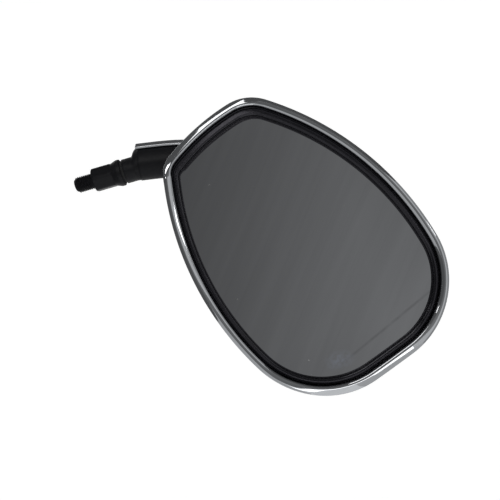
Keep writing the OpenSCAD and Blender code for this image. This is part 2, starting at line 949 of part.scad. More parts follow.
module head_shell() {
    color([0.82, 0.83, 0.85])
        at_head()
            difference() {
                union() {
                    shell_skin();
                    ball_collar();
                    for (p = base_at)
                        shell_boss(p, base_boss_r, flange_low);
                    for (p = holder_at)
                        shell_boss(p, holder_boss_r, dip(p, holder_z) - 0.25);
                }
                translate([0, 0, back_z])
                    cylinder(
                        r1 = shell_hole_r, r2 = collar_hole_r,
                        h = -back_z - sqrt(pow(cap_seat_r, 2) - pow(collar_hole_r, 2))
                    );
                sphere(r = cap_seat_r);
                for (p = base_at)
                    translate([p[0], p[1], flange_top - base_screw_len - 0.6])
                        cylinder(r = base_screw_r + play, h = base_screw_len);
                for (p = holder_at)
                    translate([p[0], p[1], dip(p, holder_z) - holder_screw_len])
                        cylinder(r = holder_screw_r + play, h = holder_screw_len + 1);
            }
}

// Curved plate that carries the glass, screwed to the shell's long bosses
module glass_holder() {
    color([0.06, 0.06, 0.06])
        at_head()
            difference() {
                curved_sheet(holder_edge, holder_z, holder_z + holder_t);
                for (p = holder_at) {
                    translate([p[0], p[1], dip(p, holder_z) - 1])
                        cylinder(r = holder_screw_r + gap, h = holder_t + 2);
                    translate([p[0], p[1], holder_seat(p)])
                        cylinder(r = holder_head_r + 0.3, h = holder_t);
                }
            }
}

// Height of the face under the head of a holder screw
function holder_seat(p) = dip(p, holder_z + holder_t) - holder_head_h - 0.4;

module holder_screws() {
    color([0.6, 0.61, 0.63])
        at_head()
            for (p = holder_at)
                translate([p[0], p[1], holder_seat(p)])
                    pan_screw(holder_head_r, holder_head_h, holder_screw_r, holder_screw_len);
}

// A sheet that follows the glass between two heights at its middle
module curved_sheet(edge, low, high) {
    shares = [0.34, 0.67, 1];
    face = outline(-edge);
    function ring(s, z) = [for (p = face) on_glass(head_mid + (p - head_mid) * s, z)];
    loft(concat(
        [for (s = shares) ring(s, low)],
        [for (i = [2:-1:0]) ring(shares[i], high)]
    ));
}

module foam_pad() {
    color([0.16, 0.16, 0.17])
        at_head()
            curved_sheet(pad_edge, pad_low_z, pad_low_z + pad_t);
}

module mirror_glass() {
    color([0.36, 0.37, 0.39])
        at_head()
            curved_sheet(glass_edge, glass_low_z, glass_mid_z);
}

// Black ring between the rim and the glass: an outer wall, a rounded ridge and
// a lip that follows the edge of the glass
module bezel_ring() {
    ridge_z = rim_z - ridge_drop;
    lip_edge = rim_w + bezel_w;
    flat = [
        [bezel_out, ridge_z - 2.1],
        [bezel_out + 0.7, ridge_z - 1.9], [bezel_out + 1.1, ridge_z - 0.5],
        [bezel_out + 1.9, ridge_z], [bezel_out + 2.8, ridge_z - 0.3]
    ];
    seat_z = holder_z + holder_t + play;
    curved = [
        [lip_edge, glass_mid_z + 0.75], [lip_edge, glass_mid_z + gap],
        [glass_edge - gap, glass_mid_z + gap], [glass_edge - gap, seat_z],
        [bezel_out, seat_z]
    ];
    rings = concat(
        [for (q = flat) [for (p = outline(-q[0])) [p[0], p[1], q[1]]]],
        [for (q = curved) [for (p = outline(-q[0])) on_glass(p, q[1])]]
    );
    color([0.05, 0.05, 0.055])
        at_head()
            loft(rings, closed = true);
}

mount_stud();
friction_washer();
pivot_bush();
disc_springs();
pivot_washer();
pivot_nut();
arm_body();
arm_rear_cover();
cover_screws();
ball_stud();
stud_washer();
stud_nut();
dust_cap();
liner_rear();
liner_front();
socket_base();
base_screws();
clamp_plate();
clamp_springs();
clamp_screws();
head_shell();
glass_holder();
holder_screws();
foam_pad();
mirror_glass();
bezel_ring();
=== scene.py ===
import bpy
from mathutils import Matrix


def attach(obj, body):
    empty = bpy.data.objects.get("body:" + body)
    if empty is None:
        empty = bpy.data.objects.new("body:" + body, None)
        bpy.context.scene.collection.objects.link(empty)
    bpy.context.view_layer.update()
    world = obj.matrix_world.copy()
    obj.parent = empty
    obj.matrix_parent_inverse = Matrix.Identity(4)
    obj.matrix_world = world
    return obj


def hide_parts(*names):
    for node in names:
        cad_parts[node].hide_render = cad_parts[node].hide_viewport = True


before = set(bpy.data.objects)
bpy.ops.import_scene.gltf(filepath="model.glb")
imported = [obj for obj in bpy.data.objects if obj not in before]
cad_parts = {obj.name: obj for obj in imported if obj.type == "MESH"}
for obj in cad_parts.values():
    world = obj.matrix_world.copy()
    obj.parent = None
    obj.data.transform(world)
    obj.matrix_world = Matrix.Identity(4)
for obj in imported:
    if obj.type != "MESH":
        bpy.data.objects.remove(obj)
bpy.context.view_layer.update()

import math

import bpy
import numpy as np
from mathutils import Matrix, Vector

bl_info = {
    "name": "Motorcycle mirror looks",
    "version": (1, 0, 0),
    "blender": (4, 5, 0),
    "location": "View3D > Sidebar > Mirror",
    "description": "Builds the visible pieces of a right-hand motorcycle mirror round its packed frame",
    "category": "Object",
}

# The row frame is the frame of the whole part. The head frame has the ball's centre at 0 and z towards the rider;
# it is turned by HEAD_TILT, and HEAD_MID is the middle of its outline.
MM = 0.001
BALL = np.array([25.7, -36.0, 94.3])
HEAD_TILT = math.radians(19.7)
HEAD_MID = np.array([50.0, -1.0])


# ---------------------------------------------------------------- settings


def length(name, description, default):
    return bpy.props.FloatProperty(
        name=name, description=description, default=default, subtype="DISTANCE", unit="LENGTH", precision=4
    )


def share(name, description, default):
    return bpy.props.FloatProperty(
        name=name, description=description, default=default, min=0.0, max=1.0, subtype="FACTOR"
    )


def colour(name, description, default):
    return bpy.props.FloatVectorProperty(
        name=name, description=description, default=default, size=3, min=0.0, max=1.0, subtype="COLOR"
    )


class MirrorHeadSettings(bpy.types.PropertyGroup):
    rim_w: length("Rim bead", "Width of the plated bead round the rim", 0.0046)
    shell_depth: length("Shell depth", "Depth of the shell behind the rim's front", 0.042)
    shell_wall: length("Shell wall", "Thickness of the shell", 0.0025)
    bezel_w: length("Bezel", "Visible width of the bezel", 0.0041)
    bezel_lip: length("Bezel lip", "How far the bezel covers the glass", 0.0014)
    ridge_drop: length("Ridge drop", "Height of the ridge below the rim's front", 0.0016)
    glass_drop: length("Glass drop", "Depth of the glass behind the rim's front", 0.0034)
    glass_t: length("Glass thickness", "Thickness of the glass", 0.002)
    glass_r: length("Glass radius", "Radius of the convex glass", 1.4)
    fullness: bpy.props.FloatProperty(
        name="Fullness", description="Fullness of the bowl, from a dome at 2 to a box", default=2.8
    )
    flat: bpy.props.FloatProperty(
        name="Bead flatness", description="Flatness of the bead's front at the narrow end, round at 0", default=1.6
    )
    flare: length("Bead flare", "How much wider the bead is at the wide end", 0.0011)
    bezel_flare: length("Bezel flare", "How much wider the bezel is at the narrow upper corner", 0.0019)
    lean: bpy.props.FloatProperty(
        name="Bead lean",
        description="Outward lean of the bead's front at the narrow end",
        default=math.radians(19.0),
        subtype="ANGLE",
        unit="ROTATION",
    )


class MirrorStemSettings(bpy.types.PropertyGroup):
    pitch: length("Thread pitch", "Pitch of the thread", 0.00125)
    thread_depth: length("Thread depth", "Depth of the thread", 0.00055)
    corner: length("Corner rounding", "Rounding of the hexagon's corners", 0.0004)


class MirrorArmSettings(bpy.types.PropertyGroup):
    wall: length("Cover wall", "Thickness of the plated cover", 0.0018)
    edge: length("Edge rounding", "Rounding at the lower edges of the castings", 0.0005)


class MirrorFinishSettings(bpy.types.PropertyGroup):
    paint: colour("Paint", "Satin black of the stem and the arm", (0.0058, 0.006, 0.0076))
    chrome: colour("Plating", "Colour of the bright plating", (0.60, 0.61, 0.625))
    plastic: colour("Bezel", "Colour of the bezel", (0.006, 0.006, 0.0075))
    glass: colour("Glass", "Tint of the silvered glass", (0.595, 0.60, 0.615))
    zinc: colour("Zinc", "Colour of the zinc-plated fasteners", (0.48, 0.49, 0.51))
    dust: share("Dust", "How much dust lies on the glass", 0.5)


class MirrorStageSettings(bpy.types.PropertyGroup):
    floor_z: length("Floor", "Height of the floor below the stem", -0.115)
    world: bpy.props.FloatProperty(name="Sky", description="Level of the even light", default=0.62)
    key: bpy.props.FloatProperty(name="Lamps", description="Brightness of the lamps, 1 for white", default=1.7)
    card: share("Card", "Tone of the grey card that the glass faces", 0.15)


# ---------------------------------------------------------------- outline of the head

# Centres and radii of the rim's corner arcs, the ball lying BALL_INSET in from the narrow end, and radii of the
# shallow bows that join each corner to the next.
BALL_INSET = 33.7
CORNERS = [
    (np.array([19.1 - BALL_INSET, -28.2]), 15.2),
    (np.array([115.7 - BALL_INSET, -10.2]), 51.3),
    (np.array([119.1 - BALL_INSET, 12.8]), 47.9),
    (np.array([25.4 - BALL_INSET, 8.4]), 25.3),
]
BOWS = [166.5, 1110.0, 164.5, 126.0]


def unit(a):
    return np.array([math.cos(a), math.sin(a)])


def heading(v):
    return math.atan2(v[1], v[0])


def arc_centre(c1, r1, c2, r2, big):
    """Centre of the arc of radius big that touches two corner circles from outside."""
    a, b, d = big - r1, big - r2, c2 - c1
    span = float(np.hypot(*d))
    x = (a * a - b * b + span * span) / (2 * span)
    return c1 + d / span * x + np.array([-d[1], d[0]]) / span * math.sqrt(a * a - x * x)


def outline_arcs(step=1.1):
    """Centres, radii and directions of the outline's points, so that any offset keeps its points."""
    bows = [arc_centre(*CORNERS[i], *CORNERS[(i + 1) % 4], BOWS[i]) for i in range(4)]
    centres, radii, dirs = [], [], []
    for i in range(4):
        c, r = CORNERS[i]
        a = heading(c - bows[i - 1])
        b = heading(c - bows[i])
        e = heading(CORNERS[(i + 1) % 4][0] - bows[i])
        for centre, radius, start, end in ((c, r, a, b), (bows[i], BOWS[i], b, e)):
            turn = (end - start) % (2 * math.pi)
            n = max(4, round(turn * radius / step))
            for k in range(n):
                centres.append(centre)
                radii.append(radius)
                dirs.append(unit(start + turn * k / n))
    return np.array(centres), np.array(radii), np.array(dirs)


ARC_C, ARC_R, ARC_D = outline_arcs()


def outline(off=0.0):
    """Points of the rim's outer line, moved outwards by off."""
    return ARC_C + (ARC_R + off)[:, None] * ARC_D


def toward(angle, power):
    """How much each outline point faces a direction of the head, from 0 to 1."""
    return np.clip(ARC_D @ unit(math.radians(angle)), 0, 1) ** power


def along_outline(angles, values):
    """Values set at directions of the head, in degrees, for all outline points."""
    return np.interp(np.degrees(np.arctan2(ARC_D[:, 1], ARC_D[:, 0])), angles, values)


def at_z(points, z):
    return np.column_stack([points, np.broadcast_to(z, len(points))])


def rim_height(s):
    """Height of the rim's front in the head frame, in mm."""
    return s.shell_depth / MM * 4 / 7


def dip(points, radius):
    """How far a convex face of that radius lies below its middle."""
    return ((points - HEAD_MID) ** 2).sum(1) / (2 * radius)


# ---------------------------------------------------------------- meshes


def head_to_row(p):
    """Head frame to row frame, in mm."""
    x, y, z = np.asarray(p, float).T
    c, s = math.cos(HEAD_TILT), math.sin(HEAD_TILT)
    return np.column_stack([x * c - y * s, -z, x * s + y * c]) + BALL


def ball_to_row(p):
    """The ball's own upright frame, with z towards the rider, to the row frame."""
    x, y, z = np.asarray(p, float).T
    return np.column_stack([x, -z, y]) + BALL


def new_piece(name, parts, smooth):
    """One mesh object from its parts, each points in mm in the row frame and faces; smooth is in degrees."""
    verts, faces = [], []
    for points, polys in parts:
        base = len(verts)
        verts.extend((np.asarray(points) * MM).tolist())
        faces.extend([[base + i for i in f] for f in polys])
    mesh = bpy.data.meshes.new(name)
    mesh.from_pydata(verts, [], faces)
    mesh.update()
    obj = bpy.data.objects.new(name, mesh)
    bpy.context.scene.collection.objects.link(obj)
    with bpy.context.temp_override(
        object=obj, active_object=obj, selected_objects=[obj], selected_editable_objects=[obj]
    ):
        bpy.ops.object.shade_smooth_by_angle(angle=math.radians(smooth))
    return obj


def loft(rings, closed=False, capped=True, flip=False):
    """Points and quads of a stack of closed rings with the same number of points."""
    n, m = len(rings[0]), len(rings)
    points = np.concatenate(rings)
    faces = []
    for j in range(m if closed else m - 1):
        k = (j + 1) % m
        for i in range(n):
            i2 = (i + 1) % n
            faces.append([j * n + i, j * n + i2, k * n + i2, k * n + i])
    if capped and not closed:
        first, last = len(points), len(points) + 1
        points = np.vstack([points, rings[0].mean(0), rings[-1].mean(0)])
        faces += [[first, (i + 1) % n, i] for i in range(n)]
        faces += [[last, (m - 1) * n + i, (m - 1) * n + (i + 1) % n] for i in range(n)]
    if flip:
        faces = [f[::-1] for f in faces]
    return points, faces


def lathe(profile, steps=96, radius=None):
    """Rings turned round z from (r, z) pairs; radius(angles, r, z) may reshape a ring."""
    a = np.arange(steps) * 2 * math.pi / steps
    rings = []
    for r, z in profile:
        rr = np.full(steps, float(r)) if radius is None else radius(a, r, z)
        rings.append(np.column_stack([rr * np.cos(a), rr * np.sin(a), np.full(steps, z)]))
    return rings


def rounded(points, radius, n=5, closed=False):
    """A polyline with its corners rounded off; points may carry extra values."""
    pts = [np.asarray(p, float) for p in points]
    out = []
    m = len(pts)
    for i, p in enumerate(pts):
        if not closed and i in (0, m - 1):
            out.append(p)
            continue
        a, b = pts[i - 1], pts[(i + 1) % m]
        la, lb = np.linalg.norm((a - p)[:2]), np.linalg.norm((b - p)[:2])
        cut_a = min(radius, la * 0.45)
        cut_b = min(radius, lb * 0.45)
        pa, pb = p + (a - p) / la * cut_a, p + (b - p) / lb * cut_b
        for k in range(n + 1):
            t = k / n
            out.append(pa * (1 - t) ** 2 + p * 2 * t * (1 - t) + pb * t * t)
    return out


# ---------------------------------------------------------------- the arm's shape

# The arm's middle line starts at FOOT_X, PATH_Z over the stem, leans outboard and hooks over to the ball's place.
FOOT_X = -3.2
LEAN = 10.5
HOOK = BALL[0] - FOOT_X - LEAN
HOOK_POWER = 3.3
PATH_Z = 30.8
RISE = BALL[2] - PATH_Z
TOP_MID_Y = -6.2
# Its section: half thicknesses at both ends, half width, and the power of the rounder rear half.
TOP_HALF_T = 11.2
FOOT_HALF_T = 8.5
ARM_HALF_W = 11.6
REAR_POWER = 2.2
# How far the casting lies outboard of the middle line, and how far each rounded top reaches past its end.
BODY_SHIFT = 1.6
BODY_REACH = 8.0
COVER_REACH = 10.2
# Radius of the neck that turns on the stem.
NECK_R = 7.7


def path(t):
    """The middle line at t, from 0 at the foot to 1 at the ball."""
    x = FOOT_X + LEAN * t + HOOK * t**HOOK_POWER
    return np.array([x, TOP_MID_Y * t * t, PATH_Z + RISE * t])


def path_turn(t):
    """The middle line's lean from upright at t."""
    return math.atan2(LEAN + HOOK * HOOK_POWER * t ** (HOOK_POWER - 1), RISE)


def half_t(t):
    return FOOT_HALF_T + (TOP_HALF_T - FOOT_HALF_T) * t * t


def section(angles, w, t, power):
    """Superellipse of the arm, angle 0 outboard and 90 at the back."""
    c, s = np.cos(angles), np.sin(angles)
    return np.column_stack(
        [w * np.sign(c) * np.abs(c) ** (2 / power), t * np.sign(s) * np.abs(s) ** (2 / power)]
    )


def on_arm(t, p, ahead):
    """Section points, across and back, to the row frame at t along the path."""
    a = path_turn(t)
    o = path(t)
    return np.column_stack(
        [
            o[0] + p[:, 0] * math.cos(a) + ahead * math.sin(a),
            o[1] + p[:, 1],
            o[2] - p[:, 0] * math.sin(a) + ahead * math.cos(a),
        ]
    )


# ---------------------------------------------------------------- materials

# On the glass: direction of the wiping, the long mark's directions and place, and the smudge's place, in metres.
WIPE_TURN = math.radians(-39)
MARK_ALONG = (-0.392, 0, 0.92)
MARK_ACROSS = (0.92, 0, 0.392)
MARK_PLACE = 0.1761
SMUDGE_PLACE = (0.1412, -0.056, 0.0673)


class Tree:
    """Short calls for the nodes of a world or a material."""

    def __init__(self, tree):
        self.tree = tree

    def node(self, kind, inputs=(), **fields):
        n = self.tree.nodes.new(kind)
        for k, v in fields.items():
            setattr(n, k, v)
        for k, v in dict(inputs).items():
            self.put(n.inputs[k], v)
        return n

    def put(self, socket, value):
        if isinstance(value, bpy.types.NodeSocket):
            self.tree.links.new(value, socket)
        else:
            socket.default_value = value

    def ramp(self, fac, low, high, a=0.0, b=1.0):
        """Maps fac from low..high to a..b, clamped."""
        n = self.node(
            "ShaderNodeMapRange", {"Value": fac, "From Min": low, "From Max": high, "To Min": a, "To Max": b}
        )
        return n.outputs["Result"]

    def math(self, op, a, b=0.5):
        n = self.node("ShaderNodeMath", operation=op)
        self.put(n.inputs[0], a)
        self.put(n.inputs[1], b)
        return n.outputs[0]

    def seen(self):
        """1 for camera, glossy and transmission rays, 0 for the rest."""
        ray = self.node("ShaderNodeLightPath").outputs
        seen = self.math("MAXIMUM", ray["Is Camera Ray"], ray["Is Glossy Ray"])
        return self.math("MAXIMUM", seen, ray["Is Transmission Ray"])


class Nodes(Tree):
    """A material, found by its name or made anew; nodes are added only where made is true."""

    def __init__(self, name):
        self.mat = bpy.data.materials.get(name)
        self.made = self.mat is None
        if self.made:
            self.mat = bpy.data.materials.new(name)
            self.mat.use_nodes = True
            super().__init__(self.mat.node_tree)
            self.bsdf = self.tree.nodes["Principled BSDF"]
            self.place = self.node("ShaderNodeTexCoord").outputs["Object"]

    def set(self, **values):
        """Sets inputs of the Principled BSDF, with _ for a blank in their names."""
        for k, v in values.items():
            self.put(self.bsdf.inputs[k.replace("_", " ")], v)

    def noise(self, scale, detail=3.0, rough=0.55, at=None):
        n = self.node(
            "ShaderNodeTexNoise",
            {"Vector": at or self.place, "Scale": scale, "Detail": detail, "Roughness": rough},
        )
        return n.outputs["Fac"]

    def scaled(self, factors, turn=(0, 0, 0)):
        n = self.node("ShaderNodeMapping", {"Vector": self.place, "Scale": factors, "Rotation": turn})
        return n.outputs["Vector"]

    def grained(self, factors):
        """Place along and across the wiping direction of the glass."""
        turned = self.node("ShaderNodeMapping", {"Vector": self.place, "Rotation": (0, WIPE_TURN, 0)})
        grain = self.node("ShaderNodeMapping", {"Vector": turned.outputs["Vector"], "Scale": factors})
        return grain.outputs["Vector"]

    def dot(self, direction):
        """Distance of a point along a direction."""
        n = self.node("ShaderNodeVectorMath", {0: self.place, 1: direction}, operation="DOT_PRODUCT")
        return n.outputs["Value"]

    def mix(self, fac, a, b):
        n = self.node("ShaderNodeMix", data_type="RGBA")
        self.put(n.inputs["Factor"], fac)
        self.put(n.inputs[6], rgba(a))
        self.put(n.inputs[7], rgba(b))
        return n.outputs[2]

    def bump(self, height, strength, distance, under=None):
        n = self.node("ShaderNodeBump", {"Height": height, "Strength": strength, "Distance": distance})
        if under is not None:
            self.put(n.inputs["Normal"], under)
        return n.outputs["Normal"]


def rgba(c):
    if isinstance(c, bpy.types.NodeSocket):
        return c
    return (c[0], c[1], c[2], 1.0)


def shade(c, k):
    return tuple(min(1.0, x * k) for x in c)


def chrome_material():
    """Bright plating: slight waviness, wiped smears and a faint film in places."""
    m = Nodes("bright_plating")
    if not m.made:
        return m.mat
    c = tuple(bpy.context.scene.mirror_finish.chrome)
    film = m.ramp(m.noise(55, 4, 0.6), 0.42, 0.72)
    smear = m.ramp(m.noise(1.0, 3, 0.6, m.scaled((160, 900, 380), (0.2, 0.4, 0.9))), 0.5, 0.8)
    wave = m.bump(m.noise(70, 2, 0.4), 0.03, 0.0006)
    peel = m.bump(m.noise(1500, 2, 0.5), 0.01, 0.00005, wave)
    m.set(Base_Color=m.mix(m.math("MULTIPLY", film, 0.35), c, shade(c, 0.86)), Metallic=1.0, Normal=peel)
    m.set(Roughness=m.math("ADD", m.ramp(film, 0, 1, 0.035, 0.075), m.math("MULTIPLY", smear, 0.035)))
    return m.mat


def paint_material():
    """Satin black over a casting: fine grain, soft roughness patches, edges rubbed a little brighter."""
    m = Nodes("satin_black")
    if not m.made:
        return m.mat
    c = tuple(bpy.context.scene.mirror_finish.paint)
    patch = m.noise(140, 4, 0.6)
    grain = m.noise(5200, 2, 0.6)
    edge = m.ramp(m.node("ShaderNodeNewGeometry").outputs["Pointiness"], 0.53, 0.6)
    rub = m.math("MULTIPLY", edge, m.ramp(m.noise(420, 3), 0.42, 0.62, 0.1, 0.75))
    base = m.mix(m.ramp(patch, 0.35, 0.7), c, shade(c, 1.5))
    dust = m.math("MULTIPLY", m.ramp(m.noise(2600, 2, 0.5), 0.66, 0.74), 0.25)
    base = m.mix(dust, base, (0.11, 0.11, 0.11))
    m.set(Base_Color=m.mix(rub, base, shade(c, 3.0)))
    m.set(Roughness=m.math("SUBTRACT", m.ramp(patch, 0.3, 0.7, 0.36, 0.5), m.math("MULTIPLY", rub, 0.1)))
    m.set(Normal=m.bump(grain, 0.16, 0.00012, m.bump(m.noise(600, 3), 0.12, 0.0003)), Specular_IOR_Level=0.25)
    return m.mat


def bezel_material():
    """Semi-gloss black moulding with a fine moulded texture."""
    m = Nodes("black_moulding")
    if not m.made:
        return m.mat
    c = tuple(bpy.context.scene.mirror_finish.plastic)
    patch = m.noise(90, 4, 0.6)
    m.set(Base_Color=m.mix(m.ramp(patch, 0.35, 0.7), c, shade(c, 1.6)))
    m.set(Roughness=m.ramp(m.noise(240, 4, 0.6), 0.3, 0.7, 0.2, 0.3))
    # The reflections are tinted a little purple. This is a painted tint that stands for the colour of the light in
    # the highlights, not a colour of the moulding.
    m.set(Normal=m.bump(m.noise(1600, 2, 0.5), 0.03, 0.0001), Specular_Tint=(0.92, 0.89, 1.0, 1.0))
    return m.mat


def glass_material():
    """Silvered convex glass: wiping streaks, haze, one long mark, a smudge and a few specks of dust."""
    m = Nodes("silvered_glass")
    if not m.made:
        return m.mat
    s = bpy.context.scene.mirror_finish
    c = tuple(s.glass)
    streak = m.ramp(m.noise(1.0, 3, 0.6, m.grained((9, 1, 520))), 0.5, 0.72)
    haze = m.ramp(m.noise(1.0, 3, 0.5, m.grained((3, 1, 60))), 0.35, 0.75)
    across = m.math("ABSOLUTE", m.math("SUBTRACT", m.dot(MARK_ACROSS), MARK_PLACE))
    mark = m.math("MULTIPLY", m.ramp(across, 0.0001, 0.0011, 1, 0), m.ramp(m.noise(130, 3), 0.3, 0.6, 0.3, 1))
    mark = m.math("MULTIPLY", mark, m.ramp(m.dot(MARK_ALONG), 0.045, 0.06))
    from_smudge = m.node("ShaderNodeVectorMath", {0: m.scaled((1, 1, 0.6)), 1: SMUDGE_PLACE}, operation="DISTANCE")
    smudge = m.ramp(from_smudge.outputs["Value"], 0.001, 0.006, 1, 0)
    smudge = m.math("MULTIPLY", smudge, m.ramp(m.noise(420, 3), 0.35, 0.6))
    cells = m.node("ShaderNodeTexVoronoi", {"Vector": m.place, "Scale": 95.0})
    dot = m.ramp(cells.outputs["Distance"], 0.035, 0.075, 1.0, 0.0)
    rare = m.ramp(m.node("ShaderNodeSeparateColor", {"Color": cells.outputs["Color"]}).outputs["Red"], 0.55, 0.85)
    speck = m.math("MULTIPLY", m.math("MULTIPLY", dot, rare), s.dust)
    base = m.mix(m.math("MULTIPLY", streak, 0.16), c, shade(c, 0.8))
    base = m.mix(m.math("MULTIPLY", haze, 0.10), base, shade(c, 1.18))
    base = m.mix(m.math("MULTIPLY", mark, 0.5), base, shade(c, 0.55))
    base = m.mix(m.math("MULTIPLY", smudge, 0.6), base, (0.78, 0.84, 0.98))
    m.set(Base_Color=m.mix(speck, base, (0.62, 0.62, 0.60)), Metallic=1.0)
    m.set(Roughness=m.math("ADD", m.ramp(streak, 0, 1, 0.02, 0.05), m.math("MULTIPLY", speck, 0.5)))
    return m.mat


def metal_material(name, c, low, high, grain=900, strength=0.08):
    """Plain metal with grain, stain and roughness patches."""
    m = Nodes(name)
    if not m.made:
        return m.mat
    stain = m.ramp(m.noise(260, 4, 0.6), 0.4, 0.75)
    m.set(Base_Color=m.mix(stain, c, shade(c, 0.72)), Metallic=1.0)
    m.set(Roughness=m.ramp(m.noise(grain, 3, 0.6), 0.3, 0.7, low, high))
    m.set(Normal=m.bump(m.noise(grain * 3, 2, 0.6), strength, 0.0001))
    return m.mat


def plain_material(name, c, low, high, grain=2400, strength=0.1):
    """Plastic, nylon or foam with grain and roughness patches."""
    m = Nodes(name)
    if not m.made:
        return m.mat
    m.set(Base_Color=m.mix(m.ramp(m.noise(180, 4, 0.6), 0.35, 0.7), c, shade(c, 1.35)))
    m.set(Roughness=m.ramp(m.noise(grain / 4, 3, 0.6), 0.3, 0.7, low, high))
    m.set(Normal=m.bump(m.noise(grain, 2, 0.6), strength, 0.00012))
    return m.mat


def dress(obj, mat):
    obj.data.materials.clear()
    obj.data.materials.append(mat)


def dress_node(name, mat):
    """Gives a CAD node a material in its object's own slots."""
    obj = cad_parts[name]
    if not obj.material_slots:
        obj.data.materials.append(mat)
    for s in obj.material_slots:
        s.link = "OBJECT"
        s.material = mat


def finish_piece(obj, body, nodes):
    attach(obj, body)
    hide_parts(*nodes)


# ---------------------------------------------------------------- operators


class MIRROR_OT_stem(bpy.types.Operator):
    """Turned stem with its thread, hexagon, cone, collar and pivot post"""

    bl_idname = "mirror.stem"
    bl_label = "Stem"

    def execute(self, context):
        s = context.scene.mirror_stem
        pitch, depth, corner = s.pitch / MM, s.thread_depth / MM, s.corner / MM
        stud_r, flat_r, hex_len = 5.0, 7.0, 12.5
        collar_r, collar_z, collar_top = 8.4, 16.5, 18.9
        full = flat_r / math.cos(math.pi / 6)

        def thread_r(a, r, z):
            """The radius with the thread's groove, which fades out at both ends."""
            turn = (z / pitch - a / (2 * math.pi)) % 1.0
            groove = np.clip(1.35 * (1 - np.abs(2 * turn - 1)) - 0.1, 0, 1)
            fade = np.clip(min(z + 11.6, -0.5 - z) / 0.9, 0, 1)
            return r - depth * groove * fade

        def hex_r(a, r, z):
            """The hexagon with its turned chamfers, over the cone that leads to the collar."""
            side = r / np.cos((a + math.pi / 6) % (math.pi / 3) - math.pi / 6)
            side = np.minimum(side, full - corner)
            low_chamfer = r - 0.35 + z / 0.45 * 0.55
            top_chamfer = full + 0.2 - max(0.0, z - (hex_len - 0.35)) * 1.7
            cone = r + (z - hex_len) * (collar_r - r) / (collar_z - hex_len)
            hexed = np.minimum(np.minimum(side, low_chamfer), top_chamfer)
            return np.maximum(hexed, cone if z > hex_len - 1 else 0.0)

        tip = [(0.6, -12), (3.1, -12), (3.4, -11.9)]
        chamfer = [(3.4 + 1.55 * k / 4, -11.9 + 1.5 * k / 4) for k in range(1, 5)]
        shank = [(stud_r, z) for z in np.arange(-10.3, -0.02, pitch / 10)]
        heights = (np.linspace(0.0, 1.2, 14), np.linspace(1.6, 12.0, 12), np.linspace(12.1, 16.4, 26))
        hexagon = [(flat_r, z) for z in np.concatenate(heights)]
        collar = rounded([(collar_r, 16.45), (collar_r, collar_top), (collar_r - 1.5, collar_top)], 1.0, 7)
        post = [(4.2, collar_top), (4.0, collar_top + 0.05), (4.0, 29.2), (3.9, 29.4)]
        post += [(3.0, 29.4), (3.0, 39.2), (2.6, 39.6)]
        rings = lathe(tip)
        rings += lathe(chamfer + shank, radius=thread_r)
        rings += lathe([(stud_r, -0.02), (6.6, -0.01)])
        rings += lathe(hexagon, radius=hex_r)
        rings += lathe(collar + post)
        stem = new_piece("stem_steel", [loft(rings)], 32)
        dress(stem, paint_material())
        finish_piece(stem, "stem", ["mount_stud"])
        return {"FINISHED"}


class MIRROR_OT_arm(bpy.types.Operator):
    """Cast arm: neck, foot, front skin and the boss for the ball"""

    bl_idname = "mirror.arm"
    bl_label = "Arm casting"

    def execute(self, context):
        edge = context.scene.mirror_arm.edge / MM
        front = np.radians(np.linspace(-188, 8, 73))
        back = np.radians(np.linspace(8, 172, 41))
        front_inset, front_power, back_half_w, back_inset = 1.4, 1.75, 7.0, 3.2

        def loop(t, shrink=1.0, ahead=0.0, grow=0.0):
            """The casting's outer skin in front and the narrower part inside the cover."""
            w, h = ARM_HALF_W - front_inset + grow, half_t(t) + grow
            a = section(front, w, h, front_power)
            a[:, 0] = np.where(a[:, 0] < 0, a[:, 0] * (w + 1) / w, a[:, 0]) + BODY_SHIFT
            b = section(back, back_half_w, half_t(t) - back_inset, REAR_POWER) + [BODY_SHIFT, 0]
            return on_arm(t, np.vstack([a, b]) * shrink, ahead)

        first = loop(0.0)
        angles = np.unwrap(np.arctan2(first[:, 1], first[:, 0]))

        def ring(r, z):
            return np.column_stack([r * np.cos(angles), r * np.sin(angles), np.full(len(angles), z)])

        rings = [ring(4.05, 20.2), ring(NECK_R - 0.2, 20.2), ring(NECK_R - 0.06, 20.26)]
        rings += [ring(NECK_R, z) for z in (20.4, 21.5, 23, 24.5, 26, 26.9)]
        # The neck flares into the foot's section.
        neck = ring(NECK_R + 0.08, 27.1)
        low = loop(0.0, grow=-edge)
        for k in range(1, 10):
            s = k / 10
            blend = 1 - (1 - s) ** 2.6
            p = neck * (1 - blend) + low * blend
            p[:, 2] = neck[:, 2] * (1 - s) + low[:, 2] * s
            rings.append(p)
        rings.append(loop(0.0, ahead=-edge * 0.2, grow=-edge * 0.35))
        rings += [loop(t) for t in np.linspace(0.006, 1, 56)]
        for a in np.radians(np.linspace(6, 89, 18)):
            rings.append(loop(1.0, math.cos(a), BODY_REACH * math.sin(a)))
        boss = rounded([(0.5, -20.05), (7.6, -20.05), (7.6, -26.0), (9.2, -29.5)], 0.7, 6)
        points, faces = loft(lathe(boss, 72), flip=True)
        arm = new_piece("arm_casting", [loft(rings), (ball_to_row(points), faces)], 36)
        dress(arm, paint_material())
        finish_piece(arm, "arm", ["arm_body"])
        return {"FINISHED"}


